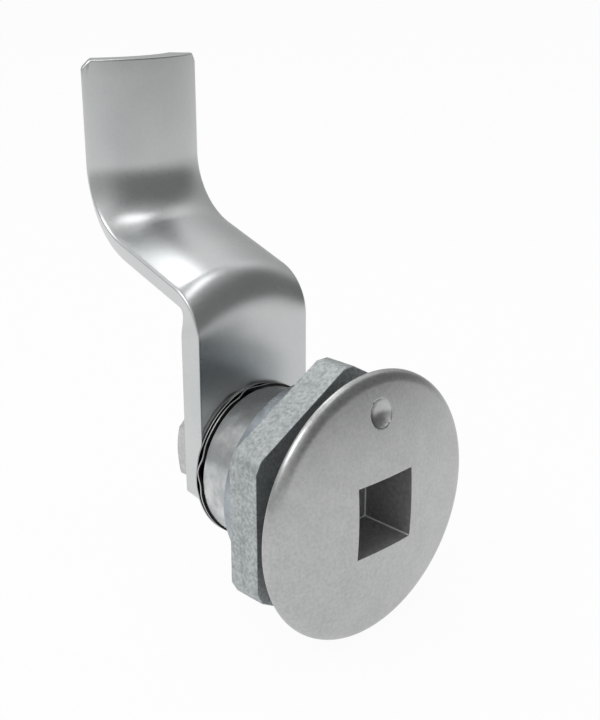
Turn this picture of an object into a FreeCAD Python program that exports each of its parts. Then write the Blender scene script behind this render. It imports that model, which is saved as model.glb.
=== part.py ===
import FreeCAD, Part
import Sketcher
import math
import os

os.makedirs("parts", exist_ok=True)
doc = FreeCAD.newDocument("cam_latch")
sheet = doc.addObject("Spreadsheet::Sheet", "sizes")

# Quarter-turn cam latch, in millimetres. The latch's axis is Y and the front of the head looks along -Y.
# The cam points up, along +Z. The origin lies on the axis, in the door's front face.
# Along the axis, y = 0 is the plane where the flange's gasket meets the door.

driving_sizes = {
    # head of the actuator
    "head_radius": 14.8,
    "rim_thickness": 0.9715,
    "dome_radius": 55.0,
    "rim_round": 0.8,
    "rim_back_round": 0.3,
    "recess_depth": 1.1,
    "socket_side": 8.0,
    "socket_depth": 6.7,
    "dimple_radius": 1.55,
    "dimple_depth": 0.75,
    "dimple_height": 11.1,
    # shaft of the actuator
    "journal_radius": 7.0,
    "journal_end": 5.5,
    "spindle_radius": 6.0,
    "square_side": 8.0,
    "square_corner_radius": 5.5,
    "square_short": 0.25,
    "tapped_hole_depth": 12.0,
    # housing
    "flange_width": 1.4,
    "flange_thickness": 0.7,
    "nose_radius": 8.75,
    "housing_length": 15.55,
    "nose_edge_break": 0.15,
    "thread_depth": 0.45,
    "thread_pitch": 1.0,
    "thread_root_flat": 0.12,
    "thread_start": 0.3,
    "thread_ridges": 6,
    # gasket, slip ring and seals
    "gasket_thickness": 0.7,
    "gasket_inset": 0.2,
    "slip_thickness": 0.25,
    "seal_section_radius": 0.45,
    "seal_groove_width": 1.2,
    "front_seal_position": 4.4,
    "rear_seal_inset": 2.15,
    # stop
    "stop_pin_radius": 0.8,
    "stop_pin_seat": 2.5,
    "stop_pin_position": 6.8,
    "stop_slot_depth": 2.5,
    "turn_angle": 90.0,
    # nut
    "door_thickness": 2.05,
    "nut_across_flats": 26.0,
    "nut_thickness": 4.0,
    "nut_corner_cut": 0.85,
    "nut_edge_break": 0.12,
    "nut_neck_radius": 11.05,
    "nut_neck_length": 3.35,
    # wave washers
    "washer_sheet": 0.2,
    "washer_inner_radius": 6.3,
    "washer_outer_radius": 9.0,
    "washer_space": 0.94,
    "washer_groups": 5,
    "washer_steps": 24,
    "washer_turn": -1.0,
    "washer_touch_gap": 0.02,
    "front_sheet_rise": 0.13,
    "rear_sheet_fall": 0.1,
    # cam
    "cam_width": 16.1,
    "cam_thickness": 2.95,
    "cam_below_axis": 8.0,
    "cam_end_chamfer": 5.5,
    "bend_start": 15.5,
    "lower_bend_radius": 5.6,
    "upper_bend_radius": 8.4,
    "bend_steps": 5,
    "crank_slant": 19.0,
    "crank_offset": 18.95,
    "tip_radius": 14.0,
    "tip_top": 43.6,
    "tip_chamfer": 0.95,
    "crank_crown": 1.9,
    # bolt and lock washer
    "bolt_radius": 2.9,
    "bolt_length": 12.0,
    "bolt_across_flats": 10.0,
    "bolt_head_height": 4.0,
    "bolt_edge_inset": 0.25,
    "lock_thickness": 1.35,
    "lock_radius": 5.1,
    "lock_gap": 1.2,
    # clearances
    "running_gap": 0.05,
    "thread_gap": 0.1,
    "ring_gap": 0.15,
    "loose_gap": 0.3,
}


class Size:
    """A number together with the sheet expression that gives it."""

    def __init__(self, number, text):
        self.number = number
        self.text = text

    def joined(self, other, sign, number, swap=False):
        other = as_size(other)
        left, right = (other, self) if swap else (self, other)
        return Size(number, f"({left.text} {sign} {right.text})")

    def __add__(self, other):
        return self.joined(other, "+", self.number + as_size(other).number)

    def __sub__(self, other):
        return self.joined(other, "-", self.number - as_size(other).number)

    def __rsub__(self, other):
        return self.joined(other, "-", as_size(other).number - self.number, swap=True)

    def __mul__(self, other):
        return self.joined(other, "*", self.number * as_size(other).number)

    def __truediv__(self, other):
        return self.joined(other, "/", self.number / as_size(other).number)

    def __neg__(self):
        return 0 - self

    __radd__ = __add__
    __rmul__ = __mul__


def as_size(value):
    return value if isinstance(value, Size) else Size(value, repr(value))


def arc_sine(value):
    """Angle in degrees, as a plain number."""
    return Size(math.degrees(math.asin(value.number)), f"(asin({value.text}) / 1deg)")


def sagitta(radius, reach):
    """How far a round surface of this radius has fallen back at a reach from its crown."""
    fall = radius.number - math.sqrt(radius.number ** 2 - reach.number ** 2)
    return Size(fall, f"({radius.text} - sqrt({radius.text} ^ 2 - {reach.text} ^ 2))")


def fill_sheet(sizes):
    for row, (name, number) in enumerate(sizes.items(), start=1):
        sheet.set(f"A{row}", name)
        sheet.set(f"B{row}", repr(number))
        sheet.setAlias(f"B{row}", name)
    doc.recompute()
    return {name: Size(float(sheet.get(name)), f"sizes.{name}") for name in sizes}


size = fill_sheet(driving_sizes)

# Places along the axis, from the door's front face
door_front = Size(0.0, "0")
flange_back = -size["gasket_thickness"]
flange_front = flange_back - size["flange_thickness"]
slip_front = flange_front - size["slip_thickness"]
head_floor = slip_front - size["running_gap"]
rim_back = head_floor + size["recess_depth"]
head_apex = rim_back - size["rim_thickness"] - sagitta(size["dome_radius"], size["head_radius"])
shoulder = size["journal_end"] + size["ring_gap"]
slot_back = shoulder + size["stop_slot_depth"]
nut_front = size["door_thickness"]
nut_back = nut_front + size["nut_thickness"]
neck_end = nut_back + size["nut_neck_length"]
housing_end = size["housing_length"]
rear_seal_place = housing_end - size["rear_seal_inset"]
cam_front = housing_end + size["washer_space"]
cam_back = cam_front + size["cam_thickness"]
lock_back = cam_back + size["lock_thickness"]
bolt_back = lock_back + size["bolt_head_height"]
square_end = cam_back - size["square_short"]

# Radii that follow from others
thread_radius = size["nose_radius"] + size["thread_depth"]
flange_radius = thread_radius + size["flange_width"]
gasket_radius = flange_radius - size["gasket_inset"]
front_bore = size["journal_radius"] + size["running_gap"]
rear_bore = size["spindle_radius"] + size["running_gap"]
seal_groove_depth = 2 * size["seal_section_radius"] + size["running_gap"]
gasket_bore = thread_radius + size["ring_gap"]
slip_bore = size["journal_radius"] + size["ring_gap"]
slip_radius = flange_radius - size["loose_gap"]
half_width = size["cam_width"] / 2


def bind(thing, prop, value):
    thing.setExpression(prop, as_size(value).text)


def new_body(name):
    body = doc.addObject("PartDesign::Body", name)
    body.Label = name
    return body


def origin_plane(body, role):
    return next(plane for plane in body.Origin.OriginFeatures if plane.Role == role)


def plane_sketch(body, name, role, y=None):
    """Sketch on an origin plane. On XZ_Plane its normal is -Y, and y moves it along the axis."""
    sketch = body.newObject("Sketcher::SketchObject", name)
    sketch.AttachmentSupport = [(origin_plane(body, role), "")]
    sketch.MapMode = "FlatFace"
    if y is not None:
        bind(sketch, "AttachmentOffset.Base.z", -as_size(y))
    return sketch


def outline(sketch, corners, domed=()):
    """Closed outline, each corner held by its two distances. A domed side is an arc centred on the axis."""
    places = [(as_size(across), as_size(along)) for across, along in corners]
    points = [FreeCAD.Vector(across.number, along.number, 0) for across, along in places]
    sides = []
    for number, (start, end) in enumerate(zip(points, points[1:] + points[:1])):
        if number in domed:
            centre = FreeCAD.Vector(0, start.y + size["dome_radius"].number, 0)
            from_centre = [math.atan2(point.y - centre.y, point.x) for point in (start, end)]
            ring = Part.Circle(centre, FreeCAD.Vector(0, 0, 1), size["dome_radius"].number)
            sides.append(sketch.addGeometry(Part.ArcOfCircle(ring, *from_centre), False))
        else:
            sides.append(sketch.addGeometry(Part.LineSegment(start, end), False))
    for side, following in zip(sides, sides[1:] + sides[:1]):
        sketch.addConstraint(Sketcher.Constraint("Coincident", side, 2, following, 1))
    for number in domed:
        sketch.addConstraint(Sketcher.Constraint("PointOnObject", sides[number], 3, -2))
    for side, (across, along) in zip(sides, places):
        for kind, place in (("DistanceX", across), ("DistanceY", along)):
            index = sketch.addConstraint(Sketcher.Constraint(kind, -1, 1, side, 1, place.number))
            bind(sketch, f"Constraints[{index}]", place)


def circle(sketch, radius):
    centre = FreeCAD.Vector(0, 0, 0)
    ring = sketch.addGeometry(Part.Circle(centre, FreeCAD.Vector(0, 0, 1), radius.number), False)
    sketch.addConstraint(Sketcher.Constraint("Coincident", ring, 3, -1, 1))
    index = sketch.addConstraint(Sketcher.Constraint("Radius", ring, radius.number))
    bind(sketch, f"Constraints[{index}]", radius)


def rectangle(low_across, low_along, high_across, high_along):
    return [
        (low_across, low_along),
        (high_across, low_along),
        (high_across, high_along),
        (low_across, high_along),
    ]


def hexagon(across_flats):
    """Corners of a hexagon with one corner up."""
    flat = across_flats / 2
    high = across_flats / math.sqrt(3)
    low = high / 2
    return [(0, high), (flat, low), (flat, -low), (0, -high), (-flat, -low), (-flat, low)]


def turned(name, corners, domed=()):
    """Body turned about the latch's axis. Corners are (radius, y) pairs."""
    body = new_body(name)
    sketch = plane_sketch(body, f"{name}_profile", "XY_Plane")
    outline(sketch, corners, domed)
    turn = body.newObject("PartDesign::Revolution", f"{name}_turned")
    turn.Profile = sketch
    turn.ReferenceAxis = (sketch, ["V_Axis"])
    turn.Angle = 360.0
    doc.recompute()
    return body


def turned_ring(name, inner, outer, front, back):
    return turned(name, rectangle(inner, front, outer, back))


def pad_forward(body, name, sketch, length):
    """Pad from a sketch on XZ_Plane towards the front, -Y."""
    pad = body.newObject("PartDesign::Pad", name)
    pad.Profile = sketch
    pad.Type = "Length"
    bind(pad, "Length", length)
    doc.recompute()


def checked_cut(body, make):
    """Run a cut and make sure that it took something away."""
    before = body.Shape.Volume
    cut = make()
    doc.recompute()
    assert body.Shape.Volume < before - 1e-6, cut.Name
    return cut


def pocket_back(body, name, sketch, depth):
    """Pocket from a sketch on XZ_Plane towards the back, +Y."""

    def make():
        pocket = body.newObject("PartDesign::Pocket", name)
        pocket.Profile = sketch
        pocket.Type = "Length"
        bind(pocket, "Length", depth)
        return pocket

    return checked_cut(body, make)


def round_cut(body, name, radius, depth, base, turn, angle=360.0):
    """Round hole, or a sector of one, from a base point along the turned Z axis."""

    def make():
        cut = body.newObject("PartDesign::SubtractiveCylinder", name)
        cut.Placement = FreeCAD.Placement(FreeCAD.Vector(), turn)
        for prop, value in (("Radius", radius), ("Height", depth), ("Angle", angle)):
            bind(cut, prop, value)
        for axis, place in zip("xyz", base):
            bind(cut, f"Placement.Base.{axis}", place)
        return cut

    return checked_cut(body, make)


def ring_groove(body, name, corners, across=360.0, middle=0.0):
    """Groove turned about the axis, all round or across an angle with its middle turned up from +X."""
    sketch = plane_sketch(body, f"{name}_profile", "XY_Plane")
    turned_up = FreeCAD.Rotation(FreeCAD.Vector(0, -1, 0), 45)
    sketch.AttachmentOffset = FreeCAD.Placement(FreeCAD.Vector(), turned_up)
    bind(sketch, "AttachmentOffset.Rotation.Angle", middle)
    outline(sketch, corners)

    def make():
        groove = body.newObject("PartDesign::Groove", name)
        groove.Profile = sketch
        groove.ReferenceAxis = (sketch, ["V_Axis"])
        groove.Midplane = True
        bind(groove, "Angle", across)
        return groove

    return checked_cut(body, make)


def repeat_along_axis(body, name, feature, pitch, count):
    pattern = body.newObject("PartDesign::LinearPattern", name)
    pattern.Originals = [feature]
    pattern.Direction = (origin_plane(body, "Y_Axis"), [""])
    bind(pattern, "Length", pitch * (count - 1))
    bind(pattern, "Occurrences", count)
    body.Tip = pattern
    doc.recompute()


def dress(body, kind, name, choose, amount):
    """Fillet or chamfer on the chosen edges of the body's tip."""
    base = body.Tip
    names = [f"Edge{number}" for number, edge in enumerate(base.Shape.Edges, start=1) if choose(edge)]
    assert names, name
    feature = body.newObject(f"PartDesign::{kind}", name)
    feature.Base = (base, names)
    bind(feature, "Radius" if kind == "Fillet" else "Size", amount)
    doc.recompute()


def is_ring(edge, radius, y):
    """Whether an edge is round about the axis, with this radius and place."""
    if edge.Degenerated or not isinstance(edge.Curve, Part.Circle):
        return False
    same_radius = abs(edge.Curve.Radius - radius.number) < 1e-4
    return same_radius and abs(edge.Curve.Center.y - y.number) < 1e-4


def along_y(edge):
    """Whether an edge is straight and lies along the axis."""
    box = edge.BoundBox
    return max(box.XLength, box.ZLength) < 1e-6 and box.YLength > 0.1


def across_y(edge):
    """Whether an edge lies in a plane square to the axis."""
    return edge.BoundBox.YLength < 1e-6


to_back = FreeCAD.Rotation(FreeCAD.Vector(1, 0, 0), -90)
upward = FreeCAD.Rotation()


# Actuator: the domed head, the shaft and its square end are one casting.

def seal_groove(radius, position):
    """Profile corners of a seal's groove in a journal, front to back."""
    floor = radius - seal_groove_depth
    front = position - size["seal_groove_width"] / 2
    back = position + size["seal_groove_width"] / 2
    return [(radius, front), (floor, front), (floor, back), (radius, back)]


def make_actuator():
    journal = size["journal_radius"]
    spindle = size["spindle_radius"]
    head = size["head_radius"]
    dome_edge = head_apex + sagitta(size["dome_radius"], head)
    recess = flange_radius + size["loose_gap"]
    corner = size["square_corner_radius"]
    profile = [
        (0, head_apex),
        (head, dome_edge),
        (head, rim_back),
        (recess, rim_back),
        (recess, head_floor),
        (journal, head_floor),
        *seal_groove(journal, size["front_seal_position"]),
        (journal, size["journal_end"]),
        (spindle, size["journal_end"]),
        *seal_groove(spindle, rear_seal_place),
        (spindle, cam_front),
        (corner, cam_front),
        (corner, square_end),
        (0, square_end),
    ]
    body = turned("actuator", profile, domed=[0])
    dress(body, "Fillet", "rim_round", lambda edge: is_ring(edge, head, dome_edge), size["rim_round"])
    dress(body, "Fillet", "rim_back", lambda edge: is_ring(edge, head, rim_back), size["rim_back_round"])

    half_side = size["socket_side"] / 2
    socket = plane_sketch(body, "socket_outline", "XZ_Plane", head_apex)
    outline(socket, rectangle(-half_side, -half_side, half_side, half_side))
    pocket_back(body, "socket", socket, size["socket_depth"])

    half_square = size["square_side"] / 2
    square = plane_sketch(body, "square_outline", "XZ_Plane", cam_front)
    outline(square, rectangle(-half_square, -half_square, half_square, half_square))
    circle(square, spindle)
    pocket_back(body, "square", square, square_end - cam_front)

    tapped_base = square_end - size["tapped_hole_depth"]
    hole_radius = size["bolt_radius"] + size["running_gap"]
    round_cut(body, "tapped_hole", hole_radius, size["tapped_hole_depth"], (0, tapped_base, 0), to_back)

    pin_base = (0, size["stop_pin_position"], spindle - size["stop_pin_seat"])
    round_cut(body, "pin_hole", size["stop_pin_radius"], 2 * size["stop_pin_seat"], pin_base, upward)

    mouth = size["dimple_radius"]
    bowl = mouth * mouth / (2 * size["dimple_depth"]) + size["dimple_depth"] / 2
    dimple_edge = head_apex + sagitta(size["dome_radius"], size["dimple_height"])

    def make_dimple():
        cut = body.newObject("PartDesign::SubtractiveSphere", "dimple")
        bind(cut, "Radius", bowl)
        bind(cut, "Placement.Base.y", dimple_edge + size["dimple_depth"] - bowl)
        bind(cut, "Placement.Base.z", size["dimple_height"])
        return cut

    checked_cut(body, make_dimple)
    return body


# Housing: flanged sleeve with a short thread for the nut and a smooth nose behind it.

flank = math.tan(math.radians(30))


def make_housing():
    nose = size["nose_radius"]
    pitch = size["thread_pitch"]
    thread_end = size["thread_start"] + (size["thread_ridges"] - 0.5) * pitch
    profile = [
        (front_bore, flange_front),
        (flange_radius, flange_front),
        (flange_radius, flange_back),
        (thread_radius, flange_back),
        (thread_radius, thread_end),
        (nose, thread_end),
        (nose, housing_end),
        (rear_bore, housing_end),
        (rear_bore, shoulder),
        (front_bore, shoulder),
    ]
    body = turned("housing", profile)
    edge_break = size["nose_edge_break"]
    dress(body, "Chamfer", "nose_edge", lambda edge: is_ring(edge, nose, housing_end), edge_break)

    root = size["thread_root_flat"] / 2
    outside = thread_radius + size["thread_gap"]
    mouth = root + (outside - nose) * flank
    start = size["thread_start"]
    groove_profile = [
        (nose, start - root),
        (outside, start - mouth),
        (outside, start + mouth),
        (nose, start + root),
    ]
    groove = ring_groove(body, "thread_groove", groove_profile)
    repeat_along_axis(body, "thread", groove, pitch, size["thread_ridges"])

    slack = arc_sine((size["stop_pin_radius"] + size["running_gap"]) / size["spindle_radius"])
    slot_profile = rectangle(rear_bore - size["loose_gap"], shoulder, front_bore, slot_back)
    ring_groove(body, "stop_slot", slot_profile, size["turn_angle"] + 2 * slack, size["turn_angle"] / 2)
    return body


# Rings around the housing and in the shaft's grooves

def make_seal(name, radius, position):
    ring = doc.addObject("Part::Torus", name)
    ring.Placement = FreeCAD.Placement(FreeCAD.Vector(), to_back)
    bind(ring, "Radius1", radius - seal_groove_depth + size["seal_section_radius"])
    bind(ring, "Radius2", size["seal_section_radius"])
    bind(ring, "Placement.Base.y", position)
    return ring


def make_stop_pin():
    pin = doc.addObject("Part::Cylinder", "stop_pin")
    low = size["spindle_radius"] - size["stop_pin_seat"]
    high = size["journal_radius"] - 2 * size["running_gap"]
    bind(pin, "Radius", size["stop_pin_radius"])
    bind(pin, "Height", high - low)
    bind(pin, "Placement.Base.y", size["stop_pin_position"])
    bind(pin, "Placement.Base.z", low)
    return pin


# Mounting nut: hexagon with rounded corners and a round neck behind it, screwed onto the housing's thread

def make_nut():
    body = new_body("mounting_nut")
    sketch = plane_sketch(body, "nut_outline", "XZ_Plane", nut_back)
    outline(sketch, hexagon(size["nut_across_flats"]))
    pad_forward(body, "nut_blank", sketch, size["nut_thickness"])
    dress(body, "Chamfer", "nut_corners", along_y, size["nut_corner_cut"])
    dress(body, "Chamfer", "nut_edges", across_y, size["nut_edge_break"])
    neck = plane_sketch(body, "nut_neck_outline", "XZ_Plane", neck_end)
    circle(neck, size["nut_neck_radius"])
    pad_forward(body, "nut_neck", neck, size["nut_neck_length"])
    bore = size["nose_radius"] + size["thread_gap"]
    round_cut(body, "nut_bore", bore, neck_end - nut_front, (0, nut_front, 0), to_back)

    slack = size["thread_gap"] * flank
    root = size["thread_pitch"] / 2 - size["thread_root_flat"] / 2 - size["thread_depth"] * flank
    outside = thread_radius + size["thread_gap"]
    mouth = root + (outside - size["nose_radius"]) * flank
    middle = size["thread_start"] + 1.5 * size["thread_pitch"] + slack
    groove_profile = [
        (size["nose_radius"], middle - mouth),
        (outside, middle - root),
        (outside, middle + root),
        (size["nose_radius"], middle + mouth),
    ]
    groove = ring_groove(body, "nut_thread_groove", groove_profile)
    repeat_along_axis(body, "nut_thread", groove, size["thread_pitch"], size["thread_ridges"] - 1)
    return body


# Wave washers: two sheets that touch at the nodes and open into cells between them

group_angle = 360.0 / size["washer_groups"].number
touch = size["washer_touch_gap"]
sheet_thickness = size["washer_sheet"]
front_low = housing_end + sheet_thickness / 2 + touch
rear_high = cam_front - sheet_thickness / 2 - touch
node_level = rear_high - sheet_thickness - touch
front_stretch = front_low + size["front_sheet_rise"]
rear_stretch = rear_high - size["rear_sheet_fall"]

# Angle from the group's first cell, then the level of the front and of the rear sheet
wave_places = [
    (0.0, front_low, rear_high),
    (11.5, node_level, rear_high),
    (22.5, front_low, rear_high),
    (31.0, front_stretch, rear_stretch),
    (47.0, front_stretch, rear_stretch),
    (63.0, front_stretch, rear_stretch),
]


def eased(share):
    return share * share * (3 - 2 * share)


def wave_level(angle, levels):
    """Level of a sheet at an angle within its group, eased between the given places."""
    ends = levels[1:] + [(group_angle, levels[0][1])]
    for (start, low), (end, high) in zip(levels, ends):
        if angle <= end:
            return low + (high - low) * eased((angle - start) / (end - start))


def wave_edge(radius, levels):
    """Closed wavy edge at one radius. Angles run from +Z towards -X."""
    steps = round(size["washer_steps"].number)
    points = []
    for step in range(steps * round(size["washer_groups"].number)):
        angle = step * group_angle / steps
        turn = math.radians(angle + size["washer_turn"].number)
        level = wave_level(angle % group_angle, levels)
        points.append(FreeCAD.Vector(-radius * math.sin(turn), level, radius * math.cos(turn)))
    curve = Part.BSplineCurve()
    curve.interpolate(points, PeriodicFlag=True)
    return curve.toShape()


def make_wave_washer(name, column):
    half = sheet_thickness.number / 2
    radii = (size["washer_inner_radius"].number, size["washer_outer_radius"].number)
    edges = {}
    for side, radius in zip(("inner", "outer"), radii):
        for face, shift in (("front", -half), ("back", half)):
            levels = [(place[0], place[column].number + shift) for place in wave_places]
            edges[side, face] = wave_edge(radius, levels)
    pairs = [
        (("inner", "front"), ("outer", "front")),
        (("outer", "front"), ("outer", "back")),
        (("outer", "back"), ("inner", "back")),
        (("inner", "back"), ("inner", "front")),
    ]
    faces = [Part.makeRuledSurface(edges[start], edges[end]) for start, end in pairs]
    solid = Part.makeSolid(Part.makeShell(faces))
    if solid.Volume < 0:
        solid.reverse()
    washer = doc.addObject("Part::Feature", name)
    washer.Shape = solid
    return washer


# Cam: flat plate on the square end, a cranked neck and a rolled tip

tip_sagitta = sagitta(size["tip_radius"], half_width)


def crank_stations():
    """Stations along the front edge of the neck: y, z, heading from +Y in radians, crown."""
    low_radius = size["lower_bend_radius"].number
    high_radius = size["upper_bend_radius"].number
    slant = math.radians(size["crank_slant"].number)
    upright = math.pi / 2
    steps = round(size["bend_steps"].number)
    crown = size["crank_crown"].number
    tip_crown = tip_sagitta.number
    bends = (low_radius + high_radius) * (1 - math.sin(slant))
    slant_length = (size["crank_offset"].number - bends) / math.cos(slant)

    stations = []
    start_y = cam_front.number
    start_z = size["bend_start"].number
    for step in range(steps + 1):
        share = step / steps
        heading = upright + (slant - upright) * share
        y = start_y + low_radius * (1 - math.sin(heading))
        z = start_z + low_radius * math.cos(heading)
        stations.append((y, z, heading, crown * eased(share)))
    low_y, low_z = stations[-1][:2]
    for share in (1 / 3, 2 / 3, 1):
        y = low_y + share * slant_length * math.cos(slant)
        z = low_z + share * slant_length * math.sin(slant)
        stations.append((y, z, slant, crown))
    high_y, high_z = stations[-1][:2]
    for step in range(1, steps + 1):
        share = step / steps
        heading = slant + (upright - slant) * share
        y = high_y + high_radius * (math.sin(heading) - math.sin(slant))
        z = high_z + high_radius * (math.cos(slant) - math.cos(heading))
        stations.append((y, z, heading, crown + (tip_crown - crown) * eased(share)))
    return stations


def crank_section(y, z, heading, crown):
    """Section across the neck: crowned front, concentric back, radial sides."""
    width = half_width.number
    thick = size["cam_thickness"].number
    front = FreeCAD.Vector(0, -math.sin(heading), math.cos(heading))
    across = FreeCAD.Vector(1, 0, 0)
    base = FreeCAD.Vector(0, y, z)

    def place(side, forward):
        return base + across * side + front * forward

    if crown < 1e-6:
        corners = [place(-width, 0), place(width, 0), place(width, -thick), place(-width, -thick)]
        return Part.makePolygon(corners + corners[:1])
    bow = (width ** 2 + crown ** 2) / (2 * crown)
    inner = 1 - thick / bow
    centre = crown - bow
    corners = [
        place(-width, 0),
        place(width, 0),
        place(width * inner, centre * (1 - inner)),
        place(-width * inner, centre * (1 - inner)),
    ]
    front_arc = Part.Arc(corners[0], place(0, crown), corners[1]).toShape()
    back_arc = Part.Arc(corners[2], place(0, crown - thick), corners[3]).toShape()
    right = Part.makeLine(corners[1], corners[2])
    left = Part.makeLine(corners[3], corners[0])
    return Part.Wire([front_arc, right, back_arc, left])


def make_cam_plate():
    body = new_body("cam_plate")
    below = size["cam_below_axis"]
    cut = size["cam_end_chamfer"]
    profile = [
        (-half_width, size["bend_start"]),
        (-half_width, cut - below),
        (cut - half_width, -below),
        (half_width - cut, -below),
        (half_width, cut - below),
        (half_width, size["bend_start"]),
    ]
    sketch = plane_sketch(body, "cam_outline", "XZ_Plane", cam_back)
    outline(sketch, profile)
    pad_forward(body, "cam_blank", sketch, size["cam_thickness"])
    half_hole = size["square_side"] / 2 + size["running_gap"]
    hole = plane_sketch(body, "cam_square", "XZ_Plane", cam_front)
    outline(hole, rectangle(-half_hole, -half_hole, half_hole, half_hole))
    pocket_back(body, "cam_square_hole", hole, size["cam_thickness"])
    return body


def make_crank():
    crank = doc.addObject("Part::Feature", "cam_neck")
    sections = [crank_section(*station) for station in crank_stations()]
    crank.Shape = Part.makeLoft(sections, True, False)
    return crank


def tip_sector(name, radius, low_end):
    """Sector of a cylinder with its middle towards the front."""
    half_angle = arc_sine(half_width / size["tip_radius"])
    sector = doc.addObject("Part::Cylinder", name)
    start = FreeCAD.Vector(0, 0, low_end)
    sector.Placement = FreeCAD.Placement(start, FreeCAD.Rotation(FreeCAD.Vector(0, 0, -1), 90))
    bind(sector, "Radius", radius)
    bind(sector, "Angle", 2 * half_angle)
    bind(sector, "Height", size["tip_top"] - low_end)
    bind(sector, "Placement.Rotation.Angle", 90 + half_angle)
    bind(sector, "Placement.Base.y", cam_front + size["crank_offset"] - tip_sagitta + size["tip_radius"])
    return sector


def make_tip(low_end):
    outer = tip_sector("tip_front", size["tip_radius"], low_end)
    inner = tip_sector("tip_back", size["tip_radius"] - size["cam_thickness"], low_end)
    shell = doc.addObject("Part::Cut", "tip_shell")
    shell.Base = outer
    shell.Tool = inner
    doc.recompute()
    tip = doc.addObject("Part::Chamfer", "cam_tip")
    tip.Base = shell
    amount = size["tip_chamfer"].number
    top = size["tip_top"].number
    tip.Edges = [(number, amount, amount) for number, edge in enumerate(shell.Shape.Edges, start=1)
                 if is_top_side(edge, top)]
    assert len(tip.Edges) == 2
    return tip


def is_top_side(edge, top):
    """Whether an edge is a straight one in the top of the tip."""
    box = edge.BoundBox
    return isinstance(edge.Curve, Part.Line) and box.ZMin > top - 1e-4


def make_cam():
    plate = make_cam_plate()
    neck = make_crank()
    tip = make_tip(crank_stations()[-1][1])
    cam = doc.addObject("Part::MultiFuse", "cam")
    cam.Shapes = [plate, neck, tip]
    cam.Refine = True
    doc.recompute()
    return cam


# Bolt with its split lock washer behind the cam

def make_lock_washer():
    inner = size["bolt_radius"] + size["ring_gap"]
    body = turned_ring("lock_washer", inner, size["lock_radius"], cam_back, lock_back)
    half_gap = size["lock_gap"] / 2
    split = plane_sketch(body, "lock_split_outline", "XZ_Plane", cam_back)
    outline(split, rectangle(-half_gap, -2 * size["lock_radius"], half_gap, 0))
    pocket_back(body, "lock_split", split, size["lock_thickness"])
    return body


def make_bolt():
    body = new_body("cam_bolt")
    across_flats = size["bolt_across_flats"]
    head = plane_sketch(body, "bolt_head_outline", "XZ_Plane", bolt_back)
    outline(head, hexagon(across_flats))
    pad_forward(body, "bolt_head", head, size["bolt_head_height"])
    shank = plane_sketch(body, "bolt_shank_outline", "XZ_Plane", lock_back)
    circle(shank, size["bolt_radius"])
    pad_forward(body, "bolt_shank", shank, size["bolt_length"])
    start = across_flats / 2 - size["bolt_edge_inset"]
    corner_fall = (across_flats - start) * flank
    ring_groove(body, "bolt_head_chamfer", [
        (start, bolt_back),
        (across_flats, bolt_back),
        (across_flats, bolt_back - corner_fall),
    ])
    return body


pieces = [
    make_actuator(),
    make_housing(),
    turned_ring("panel_gasket", gasket_bore, gasket_radius, flange_back, door_front),
    turned_ring("thrust_washer", slip_bore, slip_radius, slip_front, flange_front),
    make_seal("shaft_seal_front", size["journal_radius"], size["front_seal_position"]),
    make_seal("shaft_seal_rear", size["spindle_radius"], rear_seal_place),
    make_stop_pin(),
    make_nut(),
    make_wave_washer("wave_washer_front", 1),
    make_wave_washer("wave_washer_rear", 2),
    make_cam(),
    make_lock_washer(),
    make_bolt(),
]
doc.recompute()

for thing in doc.Objects:
    assert "Invalid" not in thing.State and "Error" not in thing.State, (thing.Name, thing.State)

for piece in pieces:
    piece.Label = piece.Name
    assert not piece.Shape.isNull() and piece.Shape.isValid(), piece.Label
    assert len(piece.Shape.Solids) == 1, piece.Label
    piece.Shape.exportStep(f"parts/{piece.Label}.step")
    box = piece.Shape.BoundBox
    extent = f"{box.XLength:.2f} x {box.YLength:.2f} x {box.ZLength:.2f}"
    print(piece.Label, f"{piece.Shape.Volume:.2f} mm3", extent)
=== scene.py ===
import math

import bpy
from mathutils import Matrix, Vector


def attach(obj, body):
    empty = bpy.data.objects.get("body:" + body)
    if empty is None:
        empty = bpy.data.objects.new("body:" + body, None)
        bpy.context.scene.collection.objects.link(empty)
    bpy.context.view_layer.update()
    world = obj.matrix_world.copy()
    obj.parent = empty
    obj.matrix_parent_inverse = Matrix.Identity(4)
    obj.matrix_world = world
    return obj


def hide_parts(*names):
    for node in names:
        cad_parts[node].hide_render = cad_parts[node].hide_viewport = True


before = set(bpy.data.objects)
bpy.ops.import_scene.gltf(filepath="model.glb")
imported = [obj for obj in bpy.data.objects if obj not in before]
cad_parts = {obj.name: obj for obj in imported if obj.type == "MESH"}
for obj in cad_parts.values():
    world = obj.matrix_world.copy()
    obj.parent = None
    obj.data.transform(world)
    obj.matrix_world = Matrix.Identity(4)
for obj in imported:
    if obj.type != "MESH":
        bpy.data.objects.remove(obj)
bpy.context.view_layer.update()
mm = 0.001
print("stage: frame loaded")


# Modelling helpers

def clearSelection():
    if bpy.context.object and bpy.context.object.mode != "OBJECT":
        bpy.ops.object.mode_set(mode="OBJECT")
    bpy.ops.object.select_all(action="DESELECT")


def makeActive(piece):
    clearSelection()
    piece.select_set(True)
    bpy.context.view_layer.objects.active = piece


def editAll(piece, kind="VERT"):
    makeActive(piece)
    bpy.ops.object.mode_set(mode="EDIT")
    bpy.ops.mesh.select_mode(type=kind)
    bpy.ops.mesh.select_all(action="SELECT")


def named(name):
    piece = bpy.context.object
    piece.name = name
    piece.data.name = name
    bpy.ops.object.transform_apply(location=True, rotation=True, scale=True)
    return piece


def applyModifier(piece, kind, **settings):
    makeActive(piece)
    modifier = piece.modifiers.new(kind.lower(), kind)
    for key, value in settings.items():
        setattr(modifier, key, value)
    bpy.ops.object.modifier_apply(modifier=modifier.name)


def startPoint(name, place):
    clearSelection()
    bpy.ops.mesh.primitive_plane_add(size=mm, location=Vector(place) * mm)
    piece = named(name)
    editAll(piece)
    bpy.ops.mesh.merge(type="CENTER")
    return piece


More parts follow.
